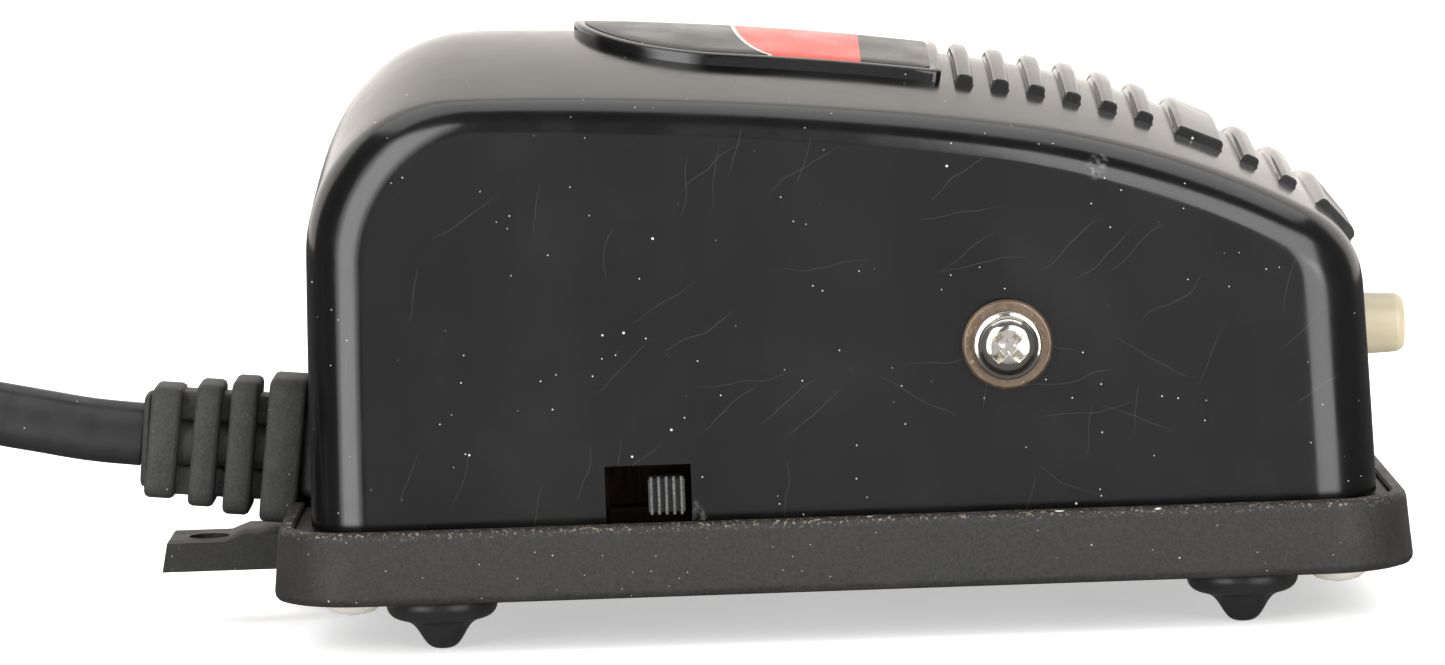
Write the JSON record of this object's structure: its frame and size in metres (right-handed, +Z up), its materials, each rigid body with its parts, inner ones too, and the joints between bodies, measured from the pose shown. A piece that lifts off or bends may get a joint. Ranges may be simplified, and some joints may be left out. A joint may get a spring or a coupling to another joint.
{
  "type": "aquarium air pump",
  "caption": "Small mains aquarium air pump with a gloss casing on a matte footed base, slide switch, single outlet nozzle and a two-core cord with a plug.",
  "frame": {"origin": "middle of the pump's box without its cord, at the level of the foot tips", "axes": "+X out of the outlet nozzle, +Z up, -Y the side with the switch and the side screw"},
  "size_m": [0.2219, 0.0767, 0.0529],
  "materials": {
    "casing": "glossy black moulding with fine scratches and dust",
    "base": "matte black, fine texture",
    "label": "glossy film with a plain coral patch",
    "felt": "white felt",
    "nickel": "nickel plated",
    "head": "matte moulding",
    "rubber": "satin black rubber",
    "nozzle": "cream, slightly translucent",
    "arm": "natural moulding",
    "magnet": "dark ferrite",
    "steel": "bright zinc",
    "core_iron": "stacked laminations",
    "bobbin": "natural moulding",
    "copper": "enamelled copper wire",
    "board": "brown laminate",
    "rubber_plastic": "satin black",
    "wire_brown": "brown insulation",
    "wire_blue": "blue insulation",
    "boot": "matte black, fine grain",
    "cord": "satin black PVC",
    "tie": "white tie",
    "plug": "satin black moulding"
  },
  "bodies": {
    "pump": {"upper_casing": "casing", "badge_plate": "casing", "label_film": "label", "base_tray": "base", "filter_cover": "base", "filter_felt": "felt", "side_washer": "nickel", "side_screw": "nickel", "pump_head": "head", "outlet_nozzle": "nozzle", "diaphragm": "rubber", "pivot_pin": "steel", "magnet_core": "core_iron", "coil_bobbin": "bobbin", "coil_winding": "copper", "core_screw_1": "steel", "core_screw_2": "steel", "switch_body": "steel", "switch_board": "board", "wire_to_switch": "wire_brown", "wire_to_coil": "wire_blue", "strain_relief_boot": "boot", "cord_lead": "cord", "cord_tail": "cord", "cord_coil": "cord", "cord_tie": "tie", "plug_body": "plug", "plug_pin_1": "steel", "plug_pin_2": "steel", "rubber_foot_1": "rubber", "base_screw_1": "nickel", "rubber_foot_2": "rubber", "base_screw_2": "nickel", "rubber_foot_3": "rubber", "base_screw_3": "nickel", "rubber_foot_4": "rubber", "base_screw_4": "nickel"},
    "arm": {"swing_arm": "arm", "arm_magnet": "magnet", "diaphragm_screw": "steel", "diaphragm_nut": "steel"},
    "knob": {"switch_knob": "rubber_plastic"},
    "inlet_flap": {"inlet_valve_flap": "rubber"},
    "outlet_flap": {"outlet_valve_flap": "rubber"}
  },
  "joints": [
    {"name": "arm_swing", "type": "hinge", "parent": "pump", "child": "arm", "pos_m": [0.0415, 0.0123, 0.02545], "axis": [0, 0, 1], "range_deg": [-2.5, 2.5], "stiffness_Nm_per_rad": 0.06, "deforming": ["diaphragm"]},
    {"name": "switch_slide", "type": "slide", "parent": "pump", "child": "knob", "axis": [-1, 0, 0], "range_m": [0, 0.0032]},
    {"name": "inlet_flap_swing", "type": "hinge", "parent": "pump", "child": "inlet_flap", "pos_m": [0.017, 0.00305, 0.02545], "axis": [0, 0, 1], "range_deg": [0, 14], "stiffness_Nm_per_rad": 0.000001},
    {"name": "outlet_flap_swing", "type": "hinge", "parent": "pump", "child": "outlet_flap", "pos_m": [0.0273, -0.00055, 0.02345], "axis": [0, 0, -1], "range_deg": [0, 14], "stiffness_Nm_per_rad": 0.000001}
  ]
}
